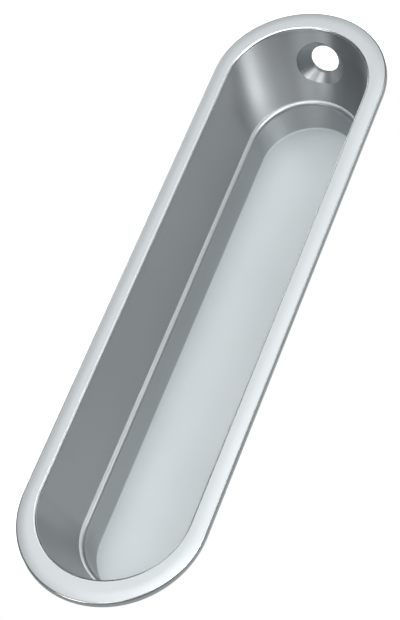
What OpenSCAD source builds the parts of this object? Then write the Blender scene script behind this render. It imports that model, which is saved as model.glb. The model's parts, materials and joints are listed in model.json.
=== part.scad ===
// Oblong recessed pull handle, cast in one piece, for a sliding door or a drawer front.
// The pull lies face up. The origin is the centre of its flat back, X runs along its length
// and +Z points out of the face. Depths are measured down from the face.

/* [Face plate] */
// Overall length
plate_l = 110; // [90:1:160]
// Overall width
plate_w = 29; // [26:0.5:40]
// Thickness of the plate around the cup
plate_t = 1.3; // [1.1:0.1:2.5]
// Width of the flat and crowned rim beside the mouth
rim_side = 2.8; // [2.6:0.1:4]
// Width of the rim beyond each end of the mouth
rim_end = 3.7; // [3.2:0.1:6]
// Width of the crowned band along the outer edge
crown_w = 1.6; // [1:0.1:1.8]
// Height that the crowned band falls towards the edge
crown_drop = 0.3; // [0.1:0.05:0.4]
// Rounding of the outer edge
edge_r = 0.4; // [0.2:0.05:0.45]
// How far the plate reaches past the cup to cover the mortise
overhang = 1.4; // [1:0.1:1.6]

/* [Finger recess] */
// Rounding where the face turns down into the mouth
mouth_r = 0.35; // [0.2:0.05:0.4]
// Depth from the face to the step
step_depth = 13.3; // [10:0.1:18]
// How far the side walls lean in between the mouth and the step
side_lean = 2.05; // [1:0.05:3]
// How far the end walls lean in between the mouth and the step
end_lean = 4.2; // [3:0.05:6]
// How far the walls hollow outwards halfway down
wall_hollow = 0.3; // [0:0.05:0.6]
// Width of the flat ledge at the foot of the walls
ledge_w = 0.1; // [0.05:0.05:0.4]
// Rounding of the lip where the ledge turns down into the pocket
lip_r = 0.75; // [0.4:0.05:1.2]
// Depth from the step to the flat floor
pocket_depth = 6.1; // [3:0.1:9]
// Draft of the pocket walls, in degrees
pocket_draft = 3; // [0.5:0.5:5]

/* [Casting] */
// Thickness of the side walls at the step and below it
side_wall = 2; // [1.6:0.1:3]
// Thickness of the end walls, which carry the screws
end_wall = 2.6; // [2.4:0.1:3.5]
// Thickness of the floor
floor_t = 2; // [1.5:0.1:4]
// Rounding of the bottom edge at the back
back_r = 0.8; // [0.3:0.1:1.2]

/* [Screw holes] */
// Diameter of each through hole
screw_hole_d = 4.9; // [4:0.1:5.2]
// Diameter of each countersink
countersink_d = 8.2; // [7.6:0.1:8.6]
// Angle of the countersink from side to side, in degrees
countersink_angle = 90; // [82:1:100]
// Angle of each screw below the door's face, in degrees
screw_angle = 25; // [20:1:32]
// Depth at which each screw's axis meets the end wall
screw_depth = 6.6; // [5.5:0.1:8]

/* [Hidden] */
face_z = step_depth + pocket_depth + floor_t;
cut = 0.5;
arc_steps = 6;
wall_steps = 4;
end_steps = 36;
turn_steps = 96;
hole_steps = 64;
plate_half_w = plate_w / 2;
plate_straight = (plate_l - plate_w) / 2;
mouth_half_w = plate_half_w - rim_side;
mouth_straight = plate_l / 2 - rim_end - mouth_half_w;
step_half_w = mouth_half_w - side_lean;
step_straight = mouth_straight + mouth_half_w - end_lean - step_half_w;
lip_half_w = step_half_w - ledge_w - lip_r;
floor_half_w = lip_half_w - (pocket_depth - lip_r) * tan(pocket_draft);
back_half_w = lip_half_w + side_wall;
back_straight = step_straight + end_wall - side_wall;
head_depth = (countersink_d - screw_hole_d) / 2 / tan(countersink_angle / 2);
metal = [0.78, 0.8, 0.81];

function mix(a, b, t) = a + (b - a) * t;

// How far down the recess wall a depth is, from 0 at the mouth to 1 at the step
function wall_part(depth) = (depth - mouth_r) / (step_depth - mouth_r);

// Half width and half straight length of the recess wall at a share of its depth
function wall_half_w(t) = mix(mouth_half_w, step_half_w, t) + wall_hollow * sin(180 * t);
function wall_straight(t) = mix(mouth_straight, step_straight, t);

// One station of a loft: height, half width and half straight length
function wall_station(t) = [face_z - mix(mouth_r, step_depth, t), wall_half_w(t), wall_straight(t)];

// Outline of an oblong with round ends, all at one height
function oblong_ring(z, half_w, straight) = [
    for (end = [0, 1], i = [0 : end_steps])
        let (a = 180 * end - 90 + 180 * i / end_steps)
        [(1 - 2 * end) * straight + half_w * cos(a), half_w * sin(a), z]
];

// Solid that runs smoothly through a list of stations, from the lowest up
module loft(stations) {
    n = 2 * (end_steps + 1);
    last = len(stations) - 1;
    polyhedron(
        points = [for (s = stations) each oblong_ring(s[0], s[1], s[2])],
        faces = concat(
            [[for (i = [0 : n - 1]) i]],
            [for (k = [0 : last - 1], i = [0 : n - 1])
                let (j = (i + 1) % n)
                [k * n + i, (k + 1) * n + i, (k + 1) * n + j, k * n + j]],
            [[for (i = [n - 1 : -1 : 0]) last * n + i]]
        )
    );
}

// Oblong solid whose round ends are turned and whose middle is straight.
// The profile gives [distance from the middle line, height].
module oblong(profile, straight) {
    other_side = [for (i = [len(profile) - 1 : -1 : 0]) [-profile[i][0], profile[i][1]]];
    for (end = [0, 1])
        rotate([0, 0, 180 * end])
            translate([straight, 0, 0])
                rotate([0, 0, -90])
                    rotate_extrude(angle = 180, $fn = turn_steps)
                        polygon(profile);
    rotate([90, 0, 90])
        translate([0, 0, -straight])
            linear_extrude(2 * straight)
                polygon(concat(profile, other_side));
}

// Profile of the plate: flat beside the mouth, crowned and rounded at the outer edge
module plate() {
    fall = 2 * atan(crown_drop / crown_w);
    crown_r = (crown_w ^ 2 + crown_drop ^ 2) / (2 * crown_drop);
    edge_x = plate_half_w - edge_r;
    flat_x = edge_x + edge_r * sin(fall) - crown_w;
    edge_z = face_z - crown_drop - edge_r * cos(fall);
    oblong(
        concat(
            [[0, face_z - plate_t], [plate_half_w, face_z - plate_t]],
            [for (i = [arc_steps : -1 : 1])
                let (a = mix(fall, 90, i / arc_steps))
                [edge_x + edge_r * sin(a), edge_z + edge_r * cos(a)]],
            [for (i = [arc_steps : -1 : 0])
                let (a = fall * i / arc_steps)
                [flat_x + crown_r * sin(a), face_z - crown_r * (1 - cos(a))]],
            [[0, face_z]]
        ),
        plate_straight
    );
}

// Outside of the cup, which stands in the mortise
module cup_outside() {
    top_half_w = plate_half_w - overhang;
    lip_z = face_z - step_depth - lip_r;
    loft(concat(
        [for (i = [0 : arc_steps])
            let (a = 90 * i / arc_steps)
            [back_r * (1 - cos(a)), floor_half_w + side_wall - back_r * (1 - sin(a)), back_straight]],
        [[lip_z - side_wall / 2, back_half_w, back_straight]],
        [[face_z - step_depth, step_half_w + side_wall, back_straight]],
        [for (i = [wall_steps - 1 : -1 : 1])
            let (t = i / wall_steps, s = wall_station(t))
            [s[0], s[1] + mix(rim_side - overhang, side_wall, t),
                s[2] + mix(0, end_wall - side_wall, t) + mix(plate_straight - mouth_straight, 0, t)]],
        [[face_z - plate_t / 2, top_half_w, plate_straight]]
    ));
}

// Upper part of the recess, from the rounded mouth down to the step.
// The last stretch of the rounding carries on in a straight line through the face.
module recess() {
    last_turn = 30;
    last_slope = sin(last_turn) / (1 - cos(last_turn));
    loft(concat(
        [for (i = [wall_steps : -1 : 0]) wall_station(i / wall_steps)],
        [for (a = [2 * last_turn, last_turn])
            [face_z - mouth_r * (1 - cos(a)), mouth_half_w + mouth_r * (1 - sin(a)), mouth_straight]],
        [[face_z + cut, mouth_half_w + mouth_r + cut * last_slope, mouth_straight]]
    ));
}

// Lower part of the recess: a rounded lip, drafted walls and a flat floor
module pocket() {
    step_z = face_z - step_depth;
    oblong(
        concat(
            [[0, floor_t], [floor_half_w, floor_t]],
            [for (i = [arc_steps : -1 : 0])
                let (a = 90 * i / arc_steps)
                [lip_half_w + lip_r * (1 - sin(a)), step_z - lip_r * (1 - cos(a))]],
            [[step_half_w - ledge_w, step_z + cut], [0, step_z + cut]]
        ),
        step_straight
    );
}

// One screw hole through the +X end wall, countersunk on the recess side
module screw_hole() {
    reach = end_wall + countersink_d;
    t = wall_part(screw_depth);
    translate([wall_half_w(t) + wall_straight(t), 0, face_z - screw_depth])
        rotate([0, screw_angle - 90, 0]) {
            translate([0, 0, -reach])
                cylinder(h = reach, d = screw_hole_d, $fn = hole_steps);
            translate([0, 0, -head_depth])
                cylinder(h = head_depth, d1 = screw_hole_d, d2 = countersink_d, $fn = hole_steps);
            cylinder(h = countersink_d, d = countersink_d, $fn = hole_steps);
        }
}

module pull_body() {
    color(metal)
        difference() {
            union() {
                plate();
                cup_outside();
            }
            recess();
            pocket();
            screw_hole();
            mirror([1, 0, 0])
                screw_hole();
        }
}

pull_body();
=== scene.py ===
import json
import math

import bmesh
import bpy
from mathutils import Matrix, Vector


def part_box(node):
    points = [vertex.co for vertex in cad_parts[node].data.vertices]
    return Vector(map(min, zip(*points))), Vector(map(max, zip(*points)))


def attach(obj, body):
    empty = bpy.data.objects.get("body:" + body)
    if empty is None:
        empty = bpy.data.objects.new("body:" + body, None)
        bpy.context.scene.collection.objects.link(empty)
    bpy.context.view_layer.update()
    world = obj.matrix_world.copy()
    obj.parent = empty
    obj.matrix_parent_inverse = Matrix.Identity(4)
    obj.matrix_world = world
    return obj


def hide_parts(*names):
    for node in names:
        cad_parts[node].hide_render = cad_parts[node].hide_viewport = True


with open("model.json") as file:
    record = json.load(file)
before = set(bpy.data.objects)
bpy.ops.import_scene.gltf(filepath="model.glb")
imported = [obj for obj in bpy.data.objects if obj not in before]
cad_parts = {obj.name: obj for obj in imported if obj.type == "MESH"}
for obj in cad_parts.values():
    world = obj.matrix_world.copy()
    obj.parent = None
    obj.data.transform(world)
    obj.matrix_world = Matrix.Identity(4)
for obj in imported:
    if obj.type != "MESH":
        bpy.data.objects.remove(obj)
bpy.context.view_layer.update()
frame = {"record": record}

bl_info = {
    "name": "Recessed pull handle",
    "version": (1, 0, 0),
    "blender": (4, 5, 0),
    "location": "View3D > Sidebar > Pull",
    "description": "Builds an oblong flush pull in satin chrome, and a plain studio round it",
    "category": "Object",
}

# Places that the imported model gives, in metres
NODE = "pull_body"
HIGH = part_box(NODE)[1]
BORES = [mount for mount in frame["record"]["mounts"] if mount["kind"] == "bore"]

MM = 0.001
QUARTER = math.pi / 2

# How finely the round ends, the straight sides, the walls, the roundings and the holes are cut up
END_STEPS = 96
SIDE_STEPS = 8
WALL_STEPS = 14
ARC_STEPS = 8
HOLE_STEPS = 128

# Points closer than this are one point, and edges that turn more than this stay sharp
TOUCHING = 0.0001 * MM
SHARP = math.radians(32)

# Names of the UV map round the oblong and of the layer that numbers each point's station
AROUND = "around"
STATION = "station"

# Material slots of the casting. The countersinks' material comes after them with the cutters.
BLASTED, BRUSHED, BUFFED, LIP = range(4)

# Highlights are drawn out at a right angle to the marks, which is a quarter of a full turn
ACROSS = 0.25

# The floor reaches this far each way. Its paper shines so much for the camera and for the metal.
FLOOR_REACH = 1.5
PAPER_LIFT = 0.7
PAPER_IN_METAL = 0.3

# Soft lamps round the pull: azimuth and elevation in degrees, and light at the pull in W/m2
LAMPS = (
    (-90, 31, 0.73),
    (-97, 52, 0.64),
    (153, 25, 0.39),
    (-77, 43, 0.34),
    (-117, 64, 0.33),
    (53, 72, 0.32),
    (138, 79, 0.32),
    (0, 84, 0.30),
    (178, 50, 0.26),
    (55, 13, 0.22),
    (20, 57, 0.15),
    (-50, 17, 0.13),
    (-12, 55, 0.10),
    (-47, 45, 0.09),
)


def linear(hex_colour):
    """Turns an sRGB hex colour into linear red, green and blue."""
    channels = [int(hex_colour[i : i + 2], 16) / 255 for i in (1, 3, 5)]
    return tuple(c / 12.92 if c <= 0.04045 else ((c + 0.055) / 1.055) ** 2.4 for c in channels)


def mix(a, b, part):
    """The value that lies a part of the way from a to b."""
    return a + (b - a) * part


def length(name, description, default):
    """A length in metres, shown in the scene's unit."""
    return bpy.props.FloatProperty(
        name=name, description=description, default=default, min=0.0, unit="LENGTH", precision=5
    )


def angle(name, description, degrees):
    """An angle, given in degrees."""
    return bpy.props.FloatProperty(
        name=name, description=description, default=math.radians(degrees), subtype="ANGLE"
    )


def share(name, description, default):
    """A number from 0 to 1."""
    return bpy.props.FloatProperty(
        name=name, description=description, default=default, min=0.0, max=1.0, subtype="FACTOR"
    )


class PullShape(bpy.types.PropertyGroup):
    """Sizes of the casting. Its length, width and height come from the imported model."""

    plate_thickness: length("Plate thickness", "Thickness of the plate round the cup", 1.3 * MM)
    rim_side: length("Side rim", "Width of the rim beside the mouth", 2.8 * MM)
    rim_end: length("End rim", "Width of the rim beyond each end of the mouth", 3.7 * MM)
    crown_width: length("Crown width", "Width of the crowned band along the outer edge", 1.6 * MM)
    crown_drop: length("Crown drop", "Height that the crowned band falls", 0.3 * MM)
    edge_radius: length("Edge radius", "Rounding of the outer edge", 0.4 * MM)
    overhang: length("Overhang", "How far the plate reaches past the cup", 1.4 * MM)
    mouth_radius: length("Mouth radius", "Rounding where the face turns into the mouth", 0.35 * MM)
    step_depth: length("Step depth", "Depth from the face to the step", 13.3 * MM)
    side_lean: length("Side lean", "How far the side walls lean in down to the step", 2.05 * MM)
    end_lean: length("End lean", "How far the end walls lean in down to the step", 4.2 * MM)
    wall_hollow: length("Wall hollow", "How far the walls hollow out halfway down", 0.3 * MM)
    ledge_width: length("Ledge width", "Flat ledge at the foot of the walls", 0.1 * MM)
    lip_radius: length("Lip radius", "Rounding of the lip over the pocket", 0.75 * MM)
    pocket_depth: length("Pocket depth", "Depth from the step to the floor", 6.1 * MM)
    pocket_draft: angle("Pocket draft", "Draft of the pocket's walls", 3)
    floor_radius: length("Floor radius", "Fillet between the pocket's walls and floor", 0.2 * MM)
    side_wall: length("Side wall", "Thickness of the side walls at the step and below", 2 * MM)
    end_wall: length("End wall", "Thickness of the end walls", 2.6 * MM)
    back_radius: length("Back radius", "Rounding of the bottom edge at the back", 0.8 * MM)


class PullHoles(bpy.types.PropertyGroup):
    """Sizes of the countersunk screw holes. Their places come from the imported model."""

    countersink: length("Countersink", "Diameter of each countersink", 8.2 * MM)
    cone: angle("Cone", "Angle of each countersink from side to side", 90)
    screw_depth: length("Screw depth", "Depth at which each screw's axis meets the wall", 6.6 * MM)


class PullFinish(bpy.types.PropertyGroup):
    """Colour and gloss of the plated casting."""

    chrome: bpy.props.FloatVectorProperty(
        name="Chrome", description="Colour that the blasted and the buffed chrome reflect",
        default=linear("#E5EAEC"), size=3, subtype="COLOR", min=0.0, max=1.0,
    )
    # Painted shade: a darker copy of the chrome's colour, so that the walls, the lip and the
    # countersinks in the recess render darker
    painted_shade_chrome: bpy.props.FloatVectorProperty(
        name="Chrome with painted shade", description="Darker colour of the walls, lip and countersinks",
        default=linear("#C6CACC"), size=3, subtype="COLOR", min=0.0, max=1.0,
    )
    satin: share("Satin", "Roughness of the blasted rim, floor and back", 0.65)
    buffed: share("Buffed", "Roughness of the rounded edges", 0.25)
    lip: share("Lip", "Roughness of the rounded lip over the pocket", 0.38)
    brushed: share("Brushed", "Roughness of the walls that were brushed round the recess", 0.45)
    turned: share("Turned", "Roughness of the countersinks", 0.45)


class PullStudio(bpy.types.PropertyGroup):
    """Where the camera, the lamps and the white card stand."""

    azimuth: angle("Azimuth", "Camera's turn about the vertical", -52.41)
    elevation: angle("Elevation", "Camera's height above the horizon", 53.59)
    roll: angle("Roll", "Camera's turn about its own axis", -20.66)
    distance: length("Distance", "From the camera to the middle of the face", 312.8 * MM)
    lamp_distance: length("Lamp distance", "From each lamp to the pull", 2.0)
    lamp_size: length("Lamp size", "Side of each square lamp", 0.7)
    card_margin: length("Card margin", "How far past the plate the card seems to reach", 16 * MM)
    card_nearness: share("Card nearness", "Card's distance from the camera, over the pull's", 0.3)
    focal: bpy.props.FloatProperty(
        name="Focal length", description="Camera's focal length in millimetres",
        default=120.6, min=1.0,
    )
    aim: bpy.props.FloatVectorProperty(
        name="Aim", description="Point on the face that the camera looks at",
        default=(-5.15 * MM, -0.26 * MM, HIGH.z), size=3,
        subtype="TRANSLATION", unit="LENGTH", precision=5,
    )


def add_node(tree, kind, inputs=None, **settings):
    """Adds a node, sets it up, and gives each named input its value or its link."""
    node = tree.nodes.new(kind)
    for key, value in settings.items():
        setattr(node, key, value)
    for key, value in (inputs or {}).items():
        if isinstance(value, bpy.types.NodeSocket):
            tree.links.new(value, node.inputs[key])
        else:
            node.inputs[key].default_value = value
    return node


def new_material(name):
    """A material with no nodes but its output."""
    material = bpy.data.materials.new(name)
    material.use_nodes = True
    material.node_tree.nodes.clear()
    material.node_tree.nodes.new("ShaderNodeOutputMaterial").name = "Material Output"
    return material, material.node_tree


def show(tree, surface):
    """Makes a shader the material's surface."""
    tree.links.new(surface, tree.nodes["Material Output"].inputs["Surface"])


def plate_shader(tree, colour, roughness, normal, **brushed):
    """Chrome plate. Brushed plate also gets how far and which way its highlights are drawn out."""
    surface = add_node(
        tree, "ShaderNodeBsdfPrincipled",
        {"Base Color": (*colour, 1.0), "Metallic": 1.0, "Roughness": roughness, "Normal": normal,
         **brushed},
    )
    show(tree, surface.outputs["BSDF"])


def cloudy(tree, place, roughness):
    """Roughness with the faint cloudiness that hand work leaves, in patches about 9 mm across."""
    cloud_size = 9 * MM
    swing = 0.02
    cloud = add_node(
        tree, "ShaderNodeTexNoise",
        {"Vector": place, "Scale": 1 / cloud_size, "Detail": 3.0, "Roughness": 0.55},
    )
    sheen = add_node(
        tree, "ShaderNodeMapRange",
        {"Value": cloud.outputs["Fac"], "From Min": 0.3, "From Max": 0.7,
         "To Min": roughness - swing, "To Max": roughness + swing},
    )
    return sheen.outputs["Result"]


def bumped(tree, place, strength, **noise):
    """Normals bent by a fine noise that is about a hundredth of a millimetre deep."""
    depth = 0.01 * MM
    marks = add_node(
        tree, "ShaderNodeTexNoise", {"Vector": place, "Detail": 2.0, "Roughness": 0.5, **noise}
    )
    bump = add_node(
        tree, "ShaderNodeBump",
        {"Height": marks.outputs["Fac"], "Strength": strength, "Distance": depth},
    )
    return bump.outputs["Normal"]


def drawn_across(tree, amount):
    """Settings that draw highlights out across marks that run along the UV map's U."""
    tangent = add_node(tree, "ShaderNodeTangent", direction_type="UV_MAP", uv_map=AROUND)
    return {
        "Anisotropic": amount,
        "Anisotropic Rotation": ACROSS,
        "Tangent": tangent.outputs["Tangent"],
    }


def blasted_chrome(name, colour, roughness):
    """Chrome plate over a cast body that was bead-blasted before plating.

    The blasting leaves fine craters, so the metal is pale and even and mirrors nothing sharply.
    The rounded edges and the lip are buffed after it, which makes thin bright lines of them.
    """
    material, tree = new_material(name)
    place = add_node(tree, "ShaderNodeTexCoord").outputs["Object"]
    # Real craters are about 0.1 mm across. They are drawn coarser, so that they show.
    crater_size = 0.4 * MM
    normal = bumped(tree, place, strength=0.2, Scale=1 / crater_size)
    plate_shader(tree, colour, cloudy(tree, place, roughness), normal)
    return material


def painted_shade_chrome(finish):
    """Chrome plate over walls that a brush was run round, along the oblong.

    The marks are too fine to see one by one, but they draw every highlight out down the wall, so
    the bends of the recess carry upright streaks. The walls take a darker copy of the chrome's
    colour, which is painted shade for the recess.
    """
    material, tree = new_material("satin chrome plate, brushed, painted shade")
    place = add_node(tree, "ShaderNodeTexCoord").outputs["Object"]
    along = add_node(tree, "ShaderNodeUVMap", uv_map=AROUND).outputs["UV"]
    # Real marks are about 0.05 mm wide. They are drawn coarser, so that they show.
    mark_length, mark_width = 6 * MM, 0.3 * MM
    marks = add_node(
        tree, "ShaderNodeMapping",
        {"Vector": along, "Scale": (1 / mark_length, 1 / mark_width, 1.0)},
    )
    normal = bumped(tree, marks.outputs["Vector"], strength=0.12, Scale=1.0)
    roughness = cloudy(tree, place, finish.brushed)
    streaks = drawn_across(tree, amount=0.97)
    # Painted shade: the walls take the darker chrome colour
    plate_shader(tree, finish.painted_shade_chrome, roughness, normal, **streaks)
    return material


def turned_chrome(finish):
    """Chrome plate over a countersink that was cut after casting.

    The cutter leaves fine rings round the hole, and light draws out across them into two wedges.
    """
    material, tree = new_material("turned chrome countersink, painted shade")
    # Real rings are about 0.1 mm apart. They are drawn coarser, so that they show, and they run
    # on unbroken, so the noise hardly changes along them.
    ring_length, ring_pitch = 500 * MM, 0.25 * MM
    around = add_node(tree, "ShaderNodeUVMap", uv_map=AROUND).outputs["UV"]
    rings = add_node(
        tree, "ShaderNodeMapping",
        {"Vector": around, "Scale": (1 / ring_length, 1 / ring_pitch, 1.0)},
    )
    normal = bumped(tree, rings.outputs["Vector"], strength=0.25, Scale=1.0)
    wedges = drawn_across(tree, amount=0.9)
    # Painted shade: the countersinks take the darker chrome colour, which dims their wedges
    plate_shader(tree, finish.painted_shade_chrome, finish.turned, normal, **wedges)
    return material


def white_paper():
    """Matt white paper. Lit paper clips to white, and where the pull shades it the shadow stays.

    To the metal it is a dim grey, so the side of the plate stays dark over it.
    """
    material, tree = new_material("white background paper")
    paper = add_node(tree, "ShaderNodeBsdfDiffuse", {"Color": (*linear("#F2F3F3"), 1.0)})
    rays = add_node(tree, "ShaderNodeLightPath")
    lift = add_node(
        tree, "ShaderNodeMath",
        {0: rays.outputs["Is Camera Ray"], 1: PAPER_LIFT}, operation="MULTIPLY",
    )
    lifted = add_node(tree, "ShaderNodeEmission", {"Strength": lift.outputs[0]})
    seen = add_node(
        tree, "ShaderNodeAddShader", {0: paper.outputs["BSDF"], 1: lifted.outputs["Emission"]}
    )
    dim = add_node(tree, "ShaderNodeEmission", {"Strength": PAPER_IN_METAL})
    both = add_node(
        tree, "ShaderNodeMixShader",
        {0: rays.outputs["Is Glossy Ray"], 1: seen.outputs["Shader"], 2: dim.outputs["Emission"]},
    )
    show(tree, both.outputs["Shader"])
    return material


def white_card():
    """Card that stands for the door's face. It shines by itself, so it is white under any lamp."""
    material, tree = new_material("white card")
    white = add_node(tree, "ShaderNodeEmission", {"Strength": 1.0})
    show(tree, white.outputs["Emission"])
    return material


def arc(centre, radius, start, stop):
    """Points of an arc in the section, each as (distance from the middle line, height)."""
    angles = [mix(start, stop, i / ARC_STEPS) for i in range(ARC_STEPS + 1)]
    return [(centre[0] + radius * math.cos(a), centre[1] + radius * math.sin(a)) for a in angles]


def at_straight(points, straight):
    """The same points as stations: distance from the middle line, height, half straight length."""
    return [(half, height, straight) for half, height in points]


def section(shape):
    """Stations of the casting, from the edge of its floor out over the rim and in to its back.

    The second result lists the bands with a finish of their own: slot, first and last station.
    """
    face, half_width = HIGH.z, HIGH.y
    plate_straight = HIGH.x - half_width
    mouth = half_width - shape.rim_side
    mouth_straight = HIGH.x - shape.rim_end - mouth
    step = mouth - shape.side_lean
    step_straight = mouth_straight + mouth - shape.end_lean - step
    step_z = face - shape.step_depth
    floor_z = step_z - shape.pocket_depth
    lip = step - shape.ledge_width - shape.lip_radius
    lip_z = step_z - shape.lip_radius
    floor = lip - (lip_z - floor_z) * math.tan(shape.pocket_draft)
    # Flats get one more station close to each rounding, so that they shade flat
    support = 0.05 * MM

    def wall(part):
        """Station on the upper wall, a part of the way from the mouth down to the step."""
        return (
            mix(mouth, step, part) + shape.wall_hollow * math.sin(math.pi * part),
            mix(face - shape.mouth_radius, step_z, part),
            mix(mouth_straight, step_straight, part),
        )

    fillet = shape.floor_radius
    pocket = [(floor - fillet - support, floor_z)]
    pocket += arc((floor - fillet, floor_z + fillet), fillet, -QUARTER, 0)
    pocket += arc((lip + shape.lip_radius, lip_z), shape.lip_radius, 2 * QUARTER, QUARTER)
    stations = at_straight(pocket, step_straight)
    stations += [wall(1 - i / WALL_STEPS) for i in range(WALL_STEPS)]
    # The pocket's walls, the lip, and the upper walls above the ledge
    bands = [
        (BRUSHED, ARC_STEPS + 1, ARC_STEPS + 2),
        (LIP, ARC_STEPS + 2, 2 * ARC_STEPS + 2),
        (BRUSHED, 2 * ARC_STEPS + 3, len(stations)),
    ]

    round_in = shape.mouth_radius
    turn = arc((mouth + round_in, face - round_in), round_in, 2 * QUARTER, QUARTER)
    turn += [(mouth + round_in + support, face)]
    bands.append((BUFFED, len(stations), len(stations) + ARC_STEPS))
    stations += at_straight(turn, mouth_straight)

    fall = 2 * math.atan(shape.crown_drop / shape.crown_width)
    crown = (shape.crown_width**2 + shape.crown_drop**2) / (2 * shape.crown_drop)
    edge = half_width - shape.edge_radius
    edge_z = face - shape.crown_drop - shape.edge_radius * math.cos(fall)
    flat = edge + shape.edge_radius * math.sin(fall) - shape.crown_width
    under = face - shape.plate_thickness
    cup = half_width - shape.overhang
    rim = [(flat - support, face)]
    rim += arc((flat, face - crown), crown, QUARTER, QUARTER - fall)
    rim += arc((edge, edge_z), shape.edge_radius, QUARTER - fall, 0)[1:]
    edge_start = len(stations) + ARC_STEPS + 1
    bands.append((BUFFED, edge_start, edge_start + ARC_STEPS))
    rim += [(half_width, under), (cup, under)]
    stations += at_straight(rim, plate_straight)

    # The cup's back follows the upper walls, and they get thicker on the way down
    for i in range(2, WALL_STEPS + 1):
        part = i / WALL_STEPS
        half, height, straight = wall(part)
        stations.append((
            half + mix(shape.rim_side - shape.overhang, shape.side_wall, part),
            height,
            straight + mix(plate_straight - mouth_straight, shape.end_wall - shape.side_wall, part),
        ))
    low = floor + shape.side_wall - shape.back_radius
    back = [(lip + shape.side_wall, lip_z - shape.side_wall / 2)]
    back += arc((low, shape.back_radius), shape.back_radius, 0, -QUARTER)
    back += [(low - support, 0)]
    return stations + at_straight(back, step_straight + shape.end_wall - shape.side_wall), bands


def boundary(mesh):
    """Edges that have only one face."""
    return [edge for edge in mesh.edges if edge.is_boundary]


def lay_around(mesh, stations):
    """A UV map in metres. U runs round the oblong and V runs along the section.

    The flat floor and the flat back are one face each, and those keep their plan.
    """
    station = mesh.verts.layers.int[STATION]
    uv = mesh.loops.layers.uv.new(AROUND)
    half_width, straight = stations[0][0], stations[0][2]
    side, end = 2 * straight, math.pi * half_width
    run = [0.0]
    for a, b in zip(stations, stations[1:]):
        run.append(run[-1] + math.dist(a[:2], b[:2]))
    for face in mesh.faces:
        middle = face.calc_center_median()
        for loop in face.loops:
            place, row = loop.vert.co, loop.vert[station]
            own_straight = stations[row][2]
            if len(face.verts) > 4:
                loop[uv].uv = place.xy
                continue
            if abs(middle.x) < min(own_straight, straight):
                along = place.x / own_straight * straight
                u = straight + along if middle.y < 0 else side + end + straight - along
            elif middle.x > 0:
                u = side + half_width * (math.atan2(place.y, place.x - own_straight) + QUARTER)
            else:
                turned = math.atan2(place.y, place.x + own_straight) % (4 * QUARTER)
                u = 2 * side + end + half_width * (turned - QUARTER)
            loop[uv].uv = (u, run[row])


def oblong_mesh(stations, ring=False):
    """Half a turn of a section, mirrored and bridged into an oblong with round ends.

    A ring's section is closed. Any other is open, and its last gaps are filled flat.
    """
    mesh = bmesh.new()
    station = mesh.verts.layers.int.new(STATION)
    chain = [mesh.verts.new((0, -half, height)) for half, height, _ in stations]
    for row, vert in enumerate(chain):
        vert[station] = row
    following = chain[1:] + chain[:1] if ring else chain[1:]
    edges = [mesh.edges.new(pair) for pair in zip(chain, following)]
    bmesh.ops.spin(
        mesh, geom=chain + edges, cent=(0, 0, 0), axis=(0, 0, 1), angle=2 * QUARTER,
        steps=END_STEPS, use_merge=False,
    )
    rows = [[] for _ in stations]
    for vert in mesh.verts:
        rows[vert[station]].append(vert)
    for row, verts in enumerate(rows):
        bmesh.ops.translate(mesh, vec=(stations[row][2], 0, 0), verts=verts)
    bmesh.ops.mirror(mesh, geom=mesh.verts[:] + mesh.edges[:] + mesh.faces[:], axis="X")
    for hand in (-1, 1):
        ends = [
            edge for edge in boundary(mesh)
            if edge.verts[0][station] != edge.verts[1][station] and edge.verts[0].co.y * hand > 0
        ]
        bridged = bmesh.ops.bridge_loops(mesh, edges=ends)["edges"]
        bmesh.ops.subdivide_edges(mesh, edges=bridged, cuts=SIDE_STEPS - 1)
    bmesh.ops.holes_fill(mesh, edges=boundary(mesh), sides=0)
    bmesh.ops.remove_doubles(mesh, verts=mesh.verts, dist=TOUCHING)
    bmesh.ops.recalc_face_normals(mesh, faces=mesh.faces)
    return mesh


def casting_mesh(shape):
    """The casting before its holes are cut, with a material slot for each band."""
    stations, bands = section(shape)
    mesh = oblong_mesh(stations)
    lay_around(mesh, stations)
    station = mesh.verts.layers.int[STATION]
    for face in mesh.faces:
        rows = [vert[station] for vert in face.verts]
        for slot, first, last in bands:
            if first <= min(rows) and max(rows) <= last:
                face.material_index = slot
    return mesh


def card_mesh(shape, studio, eye):
    """A white card before the camera, which hides the cup as the door's face would.

    It starts as the near half of a ring round the plate, level with its underside. Drawn in
    towards the eye it covers the same part of the picture, and it leaves every other view clear.
    The cut runs between the points where lines of sight touch the plate, and a little nearer.
    """
    thickness = 0.5 * MM
    top = HIGH.z - shape.plate_thickness
    inner, outer = HIGH.y, HIGH.y + studio.card_margin
    corners = [(inner, top), (outer, top), (outer, top - thickness), (inner, top - thickness)]
    mesh = oblong_mesh(at_straight(corners, HIGH.x - HIGH.y), ring=True)
    across = Vector((-eye.y, eye.x, 0)).normalized() * HIGH.y
    touch = across + Vector((math.copysign(HIGH.x - HIGH.y, across.x), 0, 0))
    near = (eye.xy - touch.xy * eye.xy.dot(touch.xy) / touch.length_squared).to_3d().normalized()
    bmesh.ops.bisect_plane(
        mesh, geom=mesh.verts[:] + mesh.edges[:] + mesh.faces[:],
        plane_co=near * shape.overhang, plane_no=near, clear_inner=True,
    )
    bmesh.ops.holes_fill(mesh, edges=boundary(mesh), sides=0)
    bmesh.ops.scale(
        mesh, vec=(studio.card_nearness,) * 3, space=Matrix.Translation(-eye), verts=mesh.verts,
    )
    return mesh


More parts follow.
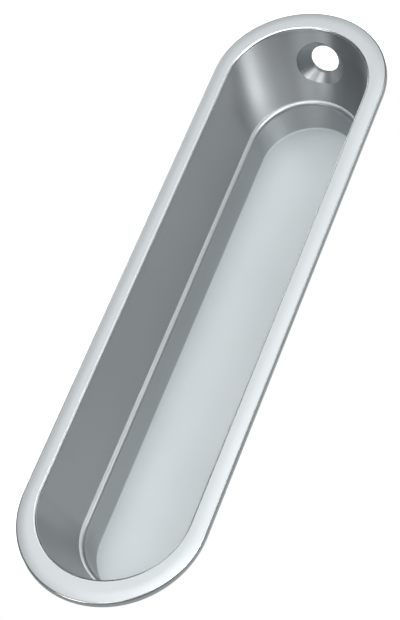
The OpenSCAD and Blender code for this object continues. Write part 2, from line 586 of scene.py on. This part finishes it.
def cutter_mesh(holes, bore):
    """A turned cutter: the screw's clearance, its countersink, and the way in above it."""
    radius, sink = bore["dims"]["r_mm"] * MM, holes.countersink / 2
    head = (sink - radius) / math.tan(holes.cone / 2)
    reach = 10 * MM
    profile = [(0, -reach), (radius, -reach), (radius, -head), (sink, 0), (sink, reach), (0, reach)]
    mesh = bmesh.new()
    verts = [mesh.verts.new((x, 0, z)) for x, z in profile]
    edges = [mesh.edges.new(pair) for pair in zip(verts, verts[1:])]
    bmesh.ops.spin(
        mesh, geom=verts + edges, cent=(0, 0, 0), axis=(0, 0, 1), angle=4 * QUARTER,
        steps=HOLE_STEPS, use_merge=True,
    )
    bmesh.ops.remove_doubles(mesh, verts=mesh.verts, dist=TOUCHING)
    bmesh.ops.recalc_face_normals(mesh, faces=mesh.faces)
    uv = mesh.loops.layers.uv.new(AROUND)
    for face in mesh.faces:
        middle = face.calc_center_median()
        facing = math.atan2(middle.y, middle.x)
        for loop in face.loops:
            place = loop.vert.co
            # A point on the axis has no angle of its own
            turned = math.atan2(place.y, place.x) if place.xy.length > MM else facing
            turned += 4 * QUARTER * round((facing - turned) / (4 * QUARTER))
            loop[uv].uv = (turned * radius, place.xy.length - place.z)
    axis, foot = Vector(bore["axis"]), Vector(bore["pos_m"])
    mouth = foot + axis * ((HIGH.z - holes.screw_depth - foot.z) / axis.z)
    turn = axis.to_track_quat("Z", "Y").to_matrix().to_4x4()
    bmesh.ops.transform(mesh, matrix=Matrix.Translation(mouth) @ turn, verts=mesh.verts)
    return mesh


def new_object(mesh, name, *materials):
    """Turns a bmesh into an object with its materials, in place round the origin."""
    data = bpy.data.meshes.new(name)
    mesh.to_mesh(data)
    mesh.free()
    for material in materials:
        data.materials.append(material)
    made = bpy.data.objects.new(name, data)
    bpy.context.scene.collection.objects.link(made)
    return made


def cut(body, cutters):
    """Takes the cutters out of the body for good."""
    for cutter in cutters:
        modifier = body.modifiers.new(cutter.name, "BOOLEAN")
        modifier.object = cutter
        modifier.operation = "DIFFERENCE"
        modifier.solver = "EXACT"
        modifier.material_mode = "TRANSFER"
    whole = body.data
    graph = bpy.context.evaluated_depsgraph_get()
    body.data = bpy.data.meshes.new_from_object(body.evaluated_get(graph))
    body.data.name = body.name
    body.modifiers.clear()
    bpy.data.meshes.remove(whole)
    for cutter in cutters:
        bpy.data.meshes.remove(cutter.data)


def smooth_over(data):
    """Smooth shading everywhere but across the sharp edges."""
    data.polygons.foreach_set("use_smooth", [True] * len(data.polygons))
    data.set_sharp_from_angle(angle=SHARP)
    data.update()


class PULL_OT_casting(bpy.types.Operator):
    """Builds the plated casting with its stepped recess and its two countersunk holes"""

    bl_idname = "pull.casting"
    bl_label = "Build casting"
    bl_options = {"REGISTER", "UNDO"}

    def execute(self, context):
        scene = context.scene
        finish = scene.pull_finish
        turned = turned_chrome(finish)
        casting = new_object(
            casting_mesh(scene.pull_shape), "pull_casting",
            blasted_chrome("satin chrome plate, blasted", finish.chrome, finish.satin),
            painted_shade_chrome(finish),
            blasted_chrome("satin chrome plate, buffed edge", finish.chrome, finish.buffed),
            # Painted shade: the lip takes the darker chrome colour
            blasted_chrome("satin chrome plate, rounded lip, painted shade", finish.painted_shade_chrome, finish.lip),
        )
        cutters = [
            new_object(cutter_mesh(scene.pull_holes, bore), bore["name"], turned) for bore in BORES
        ]
        cut(casting, cutters)
        if not casting.data.polygons:
            raise RuntimeError("the screw holes took the whole casting away")
        smooth_over(casting.data)
        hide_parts(NODE)
        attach(casting, "root")
        return {"FINISHED"}


def softbox(name, azimuth, elevation, light, studio):
    """A square lamp that points at the pull and gives it so much light.

    A lamp of P watts gives P / (pi d^2) watts per square metre straight ahead, at a distance d.
    """
    turned = Matrix.Rotation(math.radians(azimuth), 4, "Z")
    raised = Matrix.Rotation(-math.radians(elevation), 4, "Y")
    back = turned @ raised @ Vector((1, 0, 0))
    data = bpy.data.lights.new(name, "AREA")
    data.size = studio.lamp_size
    data.energy = light * math.pi * studio.lamp_distance**2
    lamp = bpy.data.objects.new(name, data)
    bpy.context.scene.collection.objects.link(lamp)
    lamp.location = Vector(studio.aim) + back * studio.lamp_distance
    lamp.rotation_euler = back.to_track_quat("Z", "Y").to_euler()


def place_camera(scene, studio):
    """Sets up the camera and returns the place of its eye."""
    turned = Matrix.Rotation(studio.azimuth, 4, "Z")
    raised = Matrix.Rotation(QUARTER - studio.elevation, 4, "X")
    rolled = Matrix.Rotation(studio.roll, 4, "Z")
    eye = Vector(studio.aim) + turned @ raised @ Vector((0, 0, studio.distance))
    data = bpy.data.cameras.new("camera")
    data.lens = studio.focal
    data.clip_start, data.clip_end = 1 * MM, 10
    camera = bpy.data.objects.new("camera", data)
    scene.collection.objects.link(camera)
    camera.matrix_world = Matrix.Translation(eye) @ turned @ raised @ rolled
    scene.camera = camera
    return eye


def pale_room():
    """A world that is white to the camera and a plain grey to the pull."""
    world = bpy.data.worlds.new("pale room")
    world.use_nodes = True
    tree = world.node_tree
    tree.nodes.clear()
    room = add_node(tree, "ShaderNodeBackground", {"Color": (*linear("#606060"), 1.0)})
    white = add_node(tree, "ShaderNodeBackground", {"Color": (1.0, 1.0, 1.0, 1.0)})
    rays = add_node(tree, "ShaderNodeLightPath")
    both = add_node(
        tree, "ShaderNodeMixShader",
        {0: rays.outputs["Is Camera Ray"], 1: room.outputs["Background"],
         2: white.outputs["Background"]},
    )
    add_node(tree, "ShaderNodeOutputWorld", {"Surface": both.outputs["Shader"]})
    return world


class PULL_OT_studio(bpy.types.Operator):
    """Sets up the camera, the soft lamps, the white floor and card, and the world"""

    bl_idname = "pull.studio"
    bl_label = "Build studio"
    bl_options = {"REGISTER", "UNDO"}

    def execute(self, context):
        scene = context.scene
        studio = scene.pull_studio
        eye = place_camera(scene, studio)
        mesh = bmesh.new()
        bmesh.ops.create_grid(mesh, x_segments=1, y_segments=1, size=FLOOR_REACH)
        floor = new_object(mesh, "floor", white_paper())
        card = new_object(card_mesh(scene.pull_shape, studio, eye), "card", white_card())
        card.visible_shadow = card.visible_diffuse = card.visible_glossy = False
        for number, (azimuth, elevation, light) in enumerate(LAMPS, 1):
            softbox(f"softbox {number}", azimuth, elevation, light, studio)
        scene.world = pale_room()
        scene.view_settings.view_transform = "Standard"
        return {"FINISHED"}


class PULL_PT_panel(bpy.types.Panel):
    """Lists the operators and the sizes that they use"""

    bl_label = "Recessed pull handle"
    bl_idname = "PULL_PT_panel"
    bl_space_type = "VIEW_3D"
    bl_region_type = "UI"
    bl_category = "Pull"

    def draw(self, context):
        layout, scene = self.layout, context.scene
        layout.operator("pull.casting")
        layout.operator("pull.studio")
        for group in (scene.pull_shape, scene.pull_holes, scene.pull_finish, scene.pull_studio):
            box = layout.box()
            for key in group.bl_rna.properties.keys():
                if key not in ("rna_type", "name"):
                    box.prop(group, key)


CLASSES = (
    PullShape, PullHoles, PullFinish, PullStudio, PULL_OT_casting, PULL_OT_studio, PULL_PT_panel,
)


def register():
    """Adds the classes and the settings that each scene keeps."""
    for cls in CLASSES:
        bpy.utils.register_class(cls)
    bpy.types.Scene.pull_shape = bpy.props.PointerProperty(type=PullShape)
    bpy.types.Scene.pull_holes = bpy.props.PointerProperty(type=PullHoles)
    bpy.types.Scene.pull_finish = bpy.props.PointerProperty(type=PullFinish)
    bpy.types.Scene.pull_studio = bpy.props.PointerProperty(type=PullStudio)


def unregister():
    """Takes the settings and the classes away again."""
    del bpy.types.Scene.pull_studio
    del bpy.types.Scene.pull_finish
    del bpy.types.Scene.pull_holes
    del bpy.types.Scene.pull_shape
    for cls in reversed(CLASSES):
        bpy.utils.unregister_class(cls)


def main():
    register()
    bpy.ops.pull.studio()
    bpy.ops.pull.casting()


if __name__ == "__main__":
    main()
